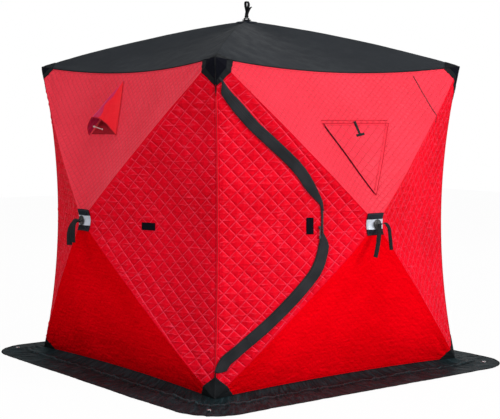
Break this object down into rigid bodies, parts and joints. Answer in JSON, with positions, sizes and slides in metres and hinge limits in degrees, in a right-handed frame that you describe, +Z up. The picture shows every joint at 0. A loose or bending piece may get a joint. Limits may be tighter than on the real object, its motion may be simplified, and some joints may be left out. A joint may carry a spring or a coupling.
{
  "type": "ice fishing shelter",
  "caption": "Pop-up hub tent for ice fishing: cube with sprung pole-hub walls and roof, D-shaped door, triangular window cover, vent hood and snow skirt.",
  "frame": {"origin": "centre of the footprint, on the ground (bottom of the snow skirt)", "axes": "+Z up; the door wall faces -Y, the vent wall faces -X"},
  "size_m": [2.4819, 2.4392, 2.173],
  "materials": {
    "wall_cloth": "matte",
    "roof_cloth": "matte",
    "black_cloth": "matte",
    "webbing": "matte",
    "hub_plastic": "matte",
    "pole_fibreglass": "satin",
    "clear_pane": "gloss",
    "zip_metal": "satin"
  },
  "bodies": {
    "base": {"snow_skirt": "black_cloth", "corner_pockets": "black_cloth", "edge_strips": "wall_cloth"},
    "front_hub": {"front_hub": "hub_plastic"},
    "front_pole_tl": {"front_pole_tl": "pole_fibreglass"},
    "front_pole_tr": {"front_pole_tr": "pole_fibreglass"},
    "front_pole_bl": {"front_pole_bl": "pole_fibreglass"},
    "front_pole_br": {"front_pole_br": "pole_fibreglass"},
    "front_panel_upper": {"front_panel_upper": "wall_cloth", "window_pane": "clear_pane"},
    "front_panel_lower": {"front_panel_lower": "wall_cloth"},
    "front_panel_left": {"front_panel_left": "wall_cloth"},
    "front_panel_right": {"front_panel_right": "wall_cloth"},
    "front_pull_strap": {"front_pull_strap": "webbing"},
    "left_hub": {"left_hub": "hub_plastic"},
    "left_pole_tl": {"left_pole_tl": "pole_fibreglass"},
    "left_pole_tr": {"left_pole_tr": "pole_fibreglass"},
    "left_pole_bl": {"left_pole_bl": "pole_fibreglass"},
    "left_pole_br": {"left_pole_br": "pole_fibreglass"},
    "left_panel_upper": {"left_panel_upper": "wall_cloth"},
    "left_panel_lower": {"left_panel_lower": "wall_cloth"},
    "left_panel_left": {"left_panel_left": "wall_cloth"},
    "left_panel_right": {"left_panel_right": "wall_cloth"},
    "left_pull_strap": {"left_pull_strap": "webbing"},
    "right_hub": {"right_hub": "hub_plastic"},
    "right_pole_tl": {"right_pole_tl": "pole_fibreglass"},
    "right_pole_tr": {"right_pole_tr": "pole_fibreglass"},
    "right_pole_bl": {"right_pole_bl": "pole_fibreglass"},
    "right_pole_br": {"right_pole_br": "pole_fibreglass"},
    "right_panel_upper": {"right_panel_upper": "wall_cloth"},
    "right_panel_lower": {"right_panel_lower": "wall_cloth"},
    "right_panel_left": {"right_panel_left": "wall_cloth"},
    "right_panel_right": {"right_panel_right": "wall_cloth"},
    "right_pull_strap": {"right_pull_strap": "webbing"},
    "back_hub": {"back_hub": "hub_plastic"},
    "back_pole_tl": {"back_pole_tl": "pole_fibreglass"},
    "back_pole_tr": {"back_pole_tr": "pole_fibreglass"},
    "back_pole_bl": {"back_pole_bl": "pole_fibreglass"},
    "back_pole_br": {"back_pole_br": "pole_fibreglass"},
    "back_panel_upper": {"back_panel_upper": "wall_cloth"},
    "back_panel_lower": {"back_panel_lower": "wall_cloth"},
    "back_panel_left": {"back_panel_left": "wall_cloth"},
    "back_panel_right": {"back_panel_right": "wall_cloth"},
    "back_pull_strap": {"back_pull_strap": "webbing"},
    "roof_hub": {"roof_hub": "hub_plastic"},
    "roof_pole_tl": {"roof_pole_tl": "pole_fibreglass"},
    "roof_pole_tr": {"roof_pole_tr": "pole_fibreglass"},
    "roof_pole_bl": {"roof_pole_bl": "pole_fibreglass"},
    "roof_pole_br": {"roof_pole_br": "pole_fibreglass"},
    "roof_panel_upper": {"roof_panel_upper": "roof_cloth"},
    "roof_panel_lower": {"roof_panel_lower": "roof_cloth"},
    "roof_panel_left": {"roof_panel_left": "roof_cloth"},
    "roof_panel_right": {"roof_panel_right": "roof_cloth"},
    "roof_pull_strap": {"roof_pull_strap": "webbing"},
    "door": {"door_panel": "wall_cloth", "door_zip_flap": "black_cloth"},
    "zip_pull": {"zip_pull": "zip_metal"},
    "window_cover": {"window_cover": "wall_cloth"},
    "vent_hood": {"vent_hood": "wall_cloth"},
    "vent_prop": {"vent_prop": "pole_fibreglass"}
  },
  "joints": [
    {"name": "front_hub_push", "type": "slide", "parent": "base", "child": "front_hub", "axis": [0, 1, 0], "range_m": [0, 0.5]},
    {"name": "front_pole_tl_pivot", "type": "hinge", "parent": "front_hub", "child": "front_pole_tl", "pos_m": [-0.02294, -1.12, 0.92231], "axis": [0.6971, 0, 0.717], "range_deg": [-0.5, 25.22]},
    {"name": "front_pole_tr_pivot", "type": "hinge", "parent": "front_hub", "child": "front_pole_tr", "pos_m": [0.02294, -1.12, 0.92231], "axis": [0.6971, 0, -0.717], "range_deg": [-0.5, 25.22]},
    {"name": "front_pole_bl_pivot", "type": "hinge", "parent": "front_hub", "child": "front_pole_bl", "pos_m": [-0.02294, -1.12, 0.87769], "axis": [-0.6971, 0, 0.717], "range_deg": [-0.5, 25.22]},
    {"name": "front_pole_br_pivot", "type": "hinge", "parent": "front_hub", "child": "front_pole_br", "pos_m": [0.02294, -1.12, 0.87769], "axis": [-0.6971, 0, -0.717], "range_deg": [-0.5, 25.22]},
    {"name": "front_panel_upper_fold", "type": "hinge", "parent": "base", "child": "front_panel_upper", "pos_m": [0, -0.9, 1.775], "axis": [1, 0, 0], "range_deg": [-0.5, 32.49]},
    {"name": "front_panel_lower_fold", "type": "hinge", "parent": "base", "child": "front_panel_lower", "pos_m": [0, -0.9, 0.025], "axis": [-1, 0, 0], "range_deg": [-0.5, 32.49]},
    {"name": "front_panel_left_fold", "type": "hinge", "parent": "base", "child": "front_panel_left", "pos_m": [-0.9, -0.9, 0.9], "axis": [0, 0, 1], "range_deg": [-0.5, 31.65]},
    {"name": "front_panel_right_fold", "type": "hinge", "parent": "base", "child": "front_panel_right", "pos_m": [0.9, -0.9, 0.9], "axis": [0, 0, -1], "range_deg": [-0.5, 31.65]},
    {"name": "front_pull_strap_swing", "type": "hinge", "parent": "front_hub", "child": "front_pull_strap", "pos_m": [0, -1.165, 0.9], "axis": [-1, 0, 0], "range_deg": [0, 70]},
    {"name": "left_hub_push", "type": "slide", "parent": "base", "child": "left_hub", "axis": [1, 0, 0], "range_m": [0, 0.5]},
    {"name": "left_pole_tl_pivot", "type": "hinge", "parent": "left_hub", "child": "left_pole_tl", "pos_m": [-1.12, 0.02294, 0.92231], "axis": [0, -0.6971, 0.717], "range_deg": [-0.5, 25.22]},
    {"name": "left_pole_tr_pivot", "type": "hinge", "parent": "left_hub", "child": "left_pole_tr", "pos_m": [-1.12, -0.02294, 0.92231], "axis": [0, -0.6971, -0.717], "range_deg": [-0.5, 25.22]},
    {"name": "left_pole_bl_pivot", "type": "hinge", "parent": "left_hub", "child": "left_pole_bl", "pos_m": [-1.12, 0.02294, 0.87769], "axis": [0, 0.6971, 0.717], "range_deg": [-0.5, 25.22]},
    {"name": "left_pole_br_pivot", "type": "hinge", "parent": "left_hub", "child": "left_pole_br", "pos_m": [-1.12, -0.02294, 0.87769], "axis": [0, 0.6971, -0.717], "range_deg": [-0.5, 25.22]},
    {"name": "left_panel_upper_fold", "type": "hinge", "parent": "base", "child": "left_panel_upper", "pos_m": [-0.9, 0, 1.775], "axis": [0, -1, 0], "range_deg": [-0.5, 32.49]},
    {"name": "left_panel_lower_fold", "type": "hinge", "parent": "base", "child": "left_panel_lower", "pos_m": [-0.9, 0, 0.025], "axis": [0, 1, 0], "range_deg": [-0.5, 32.49]},
    {"name": "left_panel_left_fold", "type": "hinge", "parent": "base", "child": "left_panel_left", "pos_m": [-0.9, 0.9, 0.9], "axis": [0, 0, 1], "range_deg": [-0.5, 31.65]},
    {"name": "left_panel_right_fold", "type": "hinge", "parent": "base", "child": "left_panel_right", "pos_m": [-0.9, -0.9, 0.9], "axis": [0, 0, -1], "range_deg": [-0.5, 31.65]},
    {"name": "left_pull_strap_swing", "type": "hinge", "parent": "left_hub", "child": "left_pull_strap", "pos_m": [-1.165, 0, 0.9], "axis": [0, 1, 0], "range_deg": [0, 52]},
    {"name": "right_hub_push", "type": "slide", "parent": "base", "child": "right_hub", "axis": [-1, 0, 0], "range_m": [0, 0.5]},
    {"name": "right_pole_tl_pivot", "type": "hinge", "parent": "right_hub", "child": "right_pole_tl", "pos_m": [1.12, -0.02294, 0.92231], "axis": [0, 0.6971, 0.717], "range_deg": [-0.5, 25.22]},
    {"name": "right_pole_tr_pivot", "type": "hinge", "parent": "right_hub", "child": "right_pole_tr", "pos_m": [1.12, 0.02294, 0.92231], "axis": [0, 0.6971, -0.717], "range_deg": [-0.5, 25.22]},
    {"name": "right_pole_bl_pivot", "type": "hinge", "parent": "right_hub", "child": "right_pole_bl", "pos_m": [1.12, -0.02294, 0.87769], "axis": [0, -0.6971, 0.717], "range_deg": [-0.5, 25.22]},
    {"name": "right_pole_br_pivot", "type": "hinge", "parent": "right_hub", "child": "right_pole_br", "pos_m": [1.12, 0.02294, 0.87769], "axis": [0, -0.6971, -0.717], "range_deg": [-0.5, 25.22]},
    {"name": "right_panel_upper_fold", "type": "hinge", "parent": "base", "child": "right_panel_upper", "pos_m": [0.9, 0, 1.775], "axis": [0, 1, 0], "range_deg": [-0.5, 32.49]},
    {"name": "right_panel_lower_fold", "type": "hinge", "parent": "base", "child": "right_panel_lower", "pos_m": [0.9, 0, 0.025], "axis": [0, -1, 0], "range_deg": [-0.5, 32.49]},
    {"name": "right_panel_left_fold", "type": "hinge", "parent": "base", "child": "right_panel_left", "pos_m": [0.9, -0.9, 0.9], "axis": [0, 0, 1], "range_deg": [-0.5, 31.65]},
    {"name": "right_panel_right_fold", "type": "hinge", "parent": "base", "child": "right_panel_right", "pos_m": [0.9, 0.9, 0.9], "axis": [0, 0, -1], "range_deg": [-0.5, 31.65]},
    {"name": "right_pull_strap_swing", "type": "hinge", "parent": "right_hub", "child": "right_pull_strap", "pos_m": [1.165, 0, 0.9], "axis": [0, -1, 0], "range_deg": [0, 70]},
    {"name": "back_hub_push", "type": "slide", "parent": "base", "child": "back_hub", "axis": [0, -1, 0], "range_m": [0, 0.5]},
    {"name": "back_pole_tl_pivot", "type": "hinge", "parent": "back_hub", "child": "back_pole_tl", "pos_m": [0.02294, 1.12, 0.92231], "axis": [-0.6971, 0, 0.717], "range_deg": [-0.5, 25.22]},
    {"name": "back_pole_tr_pivot", "type": "hinge", "parent": "back_hub", "child": "back_pole_tr", "pos_m": [-0.02294, 1.12, 0.92231], "axis": [-0.6971, 0, -0.717], "range_deg": [-0.5, 25.22]},
    {"name": "back_pole_bl_pivot", "type": "hinge", "parent": "back_hub", "child": "back_pole_bl", "pos_m": [0.02294, 1.12, 0.87769], "axis": [0.6971, 0, 0.717], "range_deg": [-0.5, 25.22]},
    {"name": "back_pole_br_pivot", "type": "hinge", "parent": "back_hub", "child": "back_pole_br", "pos_m": [-0.02294, 1.12, 0.87769], "axis": [0.6971, 0, -0.717], "range_deg": [-0.5, 25.22]},
    {"name": "back_panel_upper_fold", "type": "hinge", "parent": "base", "child": "back_panel_upper", "pos_m": [0, 0.9, 1.775], "axis": [-1, 0, 0], "range_deg": [-0.5, 32.49]},
    {"name": "back_panel_lower_fold", "type": "hinge", "parent": "base", "child": "back_panel_lower", "pos_m": [0, 0.9, 0.025], "axis": [1, 0, 0], "range_deg": [-0.5, 32.49]},
    {"name": "back_panel_left_fold", "type": "hinge", "parent": "base", "child": "back_panel_left", "pos_m": [0.9, 0.9, 0.9], "axis": [0, 0, 1], "range_deg": [-0.5, 31.65]},
    {"name": "back_panel_right_fold", "type": "hinge", "parent": "base", "child": "back_panel_right", "pos_m": [-0.9, 0.9, 0.9], "axis": [0, 0, -1], "range_deg": [-0.5, 31.65]},
    {"name": "back_pull_strap_swing", "type": "hinge", "parent": "back_hub", "child": "back_pull_strap", "pos_m": [0, 1.165, 0.9], "axis": [1, 0, 0], "range_deg": [0, 70]},
    {"name": "roof_hub_push", "type": "slide", "parent": "base", "child": "roof_hub", "axis": [0, 0, -1], "range_m": [0, 0.55]},
    {"name": "roof_pole_tl_pivot", "type": "hinge", "parent": "roof_hub", "child": "roof_pole_tl", "pos_m": [-0.02263, 0.02263, 2.02], "axis": [0.7071, 0.7071, 0], "range_deg": [-0.5, 27.21]},
    {"name": "roof_pole_tr_pivot", "type": "hinge", "parent": "roof_hub", "child": "roof_pole_tr", "pos_m": [0.02263, 0.02263, 2.02], "axis": [0.7071, -0.7071, 0], "range_deg": [-0.5, 27.21]},
    {"name": "roof_pole_bl_pivot", "type": "hinge", "parent": "roof_hub", "child": "roof_pole_bl", "pos_m": [-0.02263, -0.02263, 2.02], "axis": [-0.7071, 0.7071, 0], "range_deg": [-0.5, 27.21]},
    {"name": "roof_pole_br_pivot", "type": "hinge", "parent": "roof_hub", "child": "roof_pole_br", "pos_m": [0.02263, -0.02263, 2.02], "axis": [-0.7071, -0.7071, 0], "range_deg": [-0.5, 27.21]},
    {"name": "roof_panel_upper_fold", "type": "hinge", "parent": "base", "child": "roof_panel_upper", "pos_m": [0, 0.9, 1.775], "axis": [1, 0, 0], "range_deg": [-0.5, 34.58]},
    {"name": "roof_panel_lower_fold", "type": "hinge", "parent": "base", "child": "roof_panel_lower", "pos_m": [0, -0.9, 1.775], "axis": [-1, 0, 0], "range_deg": [-0.5, 34.58]},
    {"name": "roof_panel_left_fold", "type": "hinge", "parent": "base", "child": "roof_panel_left", "pos_m": [-0.9, 0, 1.775], "axis": [0, 1, 0], "range_deg": [-0.5, 34.58]},
    {"name": "roof_panel_right_fold", "type": "hinge", "parent": "base", "child": "roof_panel_right", "pos_m": [0.9, 0, 1.775], "axis": [0, -1, 0], "range_deg": [-0.5, 34.58]},
    {"name": "roof_pull_strap_swing", "type": "hinge", "parent": "roof_hub", "child": "roof_pull_strap", "pos_m": [0, 0, 2.065], "axis": [1, 0, 0], "range_deg": [-80, 80]},
    {"name": "door_swing", "type": "hinge", "parent": "front_panel_left", "child": "door", "pos_m": [-0.7, -0.948, 0.9], "axis": [0, 0, -1], "range_deg": [0, 140]},
    {"name": "zip_pull_lift", "type": "hinge", "parent": "door", "child": "zip_pull", "pos_m": [-0.31242, -1.04294, 0.89], "axis": [-0.9346, 0.3557, 0], "range_deg": [0, 110]},
    {"name": "window_cover_lift", "type": "hinge", "parent": "front_panel_upper", "child": "window_cover", "pos_m": [0, -0.97647, 1.441], "axis": [-1, 0, 0], "range_deg": [0, 155]},
    {"name": "vent_hood_tilt", "type": "hinge", "parent": "left_panel_upper", "child": "vent_hood", "pos_m": [-0.89312, 0, 1.61965], "axis": [0, -1, 0], "range_deg": [0, 13]},
    {"name": "vent_prop_fold", "type": "hinge", "parent": "vent_hood", "child": "vent_prop", "pos_m": [-1.04138, 0.0445, 1.41656], "axis": [0, -1, 0], "range_deg": [0, 66]}
  ],
  "couplings": [
    {"joint": "front_pole_tl_pivot", "follows": "front_hub_push", "rad_per_m": 0.85942},
    {"joint": "front_pole_tr_pivot", "follows": "front_hub_push", "rad_per_m": 0.85942},
    {"joint": "front_pole_bl_pivot", "follows": "front_hub_push", "rad_per_m": 0.85942},
    {"joint": "front_pole_br_pivot", "follows": "front_hub_push", "rad_per_m": 0.85942},
    {"joint": "front_panel_upper_fold", "follows": "front_hub_push", "rad_per_m": 1.1132},
    {"joint": "front_panel_lower_fold", "follows": "front_hub_push", "rad_per_m": 1.1132},
    {"joint": "front_panel_left_fold", "follows": "front_hub_push", "rad_per_m": 1.0838},
    {"joint": "front_panel_right_fold", "follows": "front_hub_push", "rad_per_m": 1.0838},
    {"joint": "left_pole_tl_pivot", "follows": "left_hub_push", "rad_per_m": 0.85942},
    {"joint": "left_pole_tr_pivot", "follows": "left_hub_push", "rad_per_m": 0.85942},
    {"joint": "left_pole_bl_pivot", "follows": "left_hub_push", "rad_per_m": 0.85942},
    {"joint": "left_pole_br_pivot", "follows": "left_hub_push", "rad_per_m": 0.85942},
    {"joint": "left_panel_upper_fold", "follows": "left_hub_push", "rad_per_m": 1.1132},
    {"joint": "left_panel_lower_fold", "follows": "left_hub_push", "rad_per_m": 1.1132},
    {"joint": "left_panel_left_fold", "follows": "left_hub_push", "rad_per_m": 1.0838},
    {"joint": "left_panel_right_fold", "follows": "left_hub_push", "rad_per_m": 1.0838},
    {"joint": "right_pole_tl_pivot", "follows": "right_hub_push", "rad_per_m": 0.85942},
    {"joint": "right_pole_tr_pivot", "follows": "right_hub_push", "rad_per_m": 0.85942},
    {"joint": "right_pole_bl_pivot", "follows": "right_hub_push", "rad_per_m": 0.85942},
    {"joint": "right_pole_br_pivot", "follows": "right_hub_push", "rad_per_m": 0.85942},
    {"joint": "right_panel_upper_fold", "follows": "right_hub_push", "rad_per_m": 1.1132},
    {"joint": "right_panel_lower_fold", "follows": "right_hub_push", "rad_per_m": 1.1132},
    {"joint": "right_panel_left_fold", "follows": "right_hub_push", "rad_per_m": 1.0838},
    {"joint": "right_panel_right_fold", "follows": "right_hub_push", "rad_per_m": 1.0838},
    {"joint": "back_pole_tl_pivot", "follows": "back_hub_push", "rad_per_m": 0.85942},
    {"joint": "back_pole_tr_pivot", "follows": "back_hub_push", "rad_per_m": 0.85942},
    {"joint": "back_pole_bl_pivot", "follows": "back_hub_push", "rad_per_m": 0.85942},
    {"joint": "back_pole_br_pivot", "follows": "back_hub_push", "rad_per_m": 0.85942},
    {"joint": "back_panel_upper_fold", "follows": "back_hub_push", "rad_per_m": 1.1132},
    {"joint": "back_panel_lower_fold", "follows": "back_hub_push", "rad_per_m": 1.1132},
    {"joint": "back_panel_left_fold", "follows": "back_hub_push", "rad_per_m": 1.0838},
    {"joint": "back_panel_right_fold", "follows": "back_hub_push", "rad_per_m": 1.0838},
    {"joint": "roof_pole_tl_pivot", "follows": "roof_hub_push", "rad_per_m": 0.84437},
    {"joint": "roof_pole_tr_pivot", "follows": "roof_hub_push", "rad_per_m": 0.84437},
    {"joint": "roof_pole_bl_pivot", "follows": "roof_hub_push", "rad_per_m": 0.84437},
    {"joint": "roof_pole_br_pivot", "follows": "roof_hub_push", "rad_per_m": 0.84437},
    {"joint": "roof_panel_upper_fold", "follows": "roof_hub_push", "rad_per_m": 1.0783},
    {"joint": "roof_panel_lower_fold", "follows": "roof_hub_push", "rad_per_m": 1.0783},
    {"joint": "roof_panel_left_fold", "follows": "roof_hub_push", "rad_per_m": 1.0783},
    {"joint": "roof_panel_right_fold", "follows": "roof_hub_push", "rad_per_m": 1.0783},
    {"joint": "vent_prop_fold", "follows": "vent_hood_tilt", "ratio": 5}
  ]
}
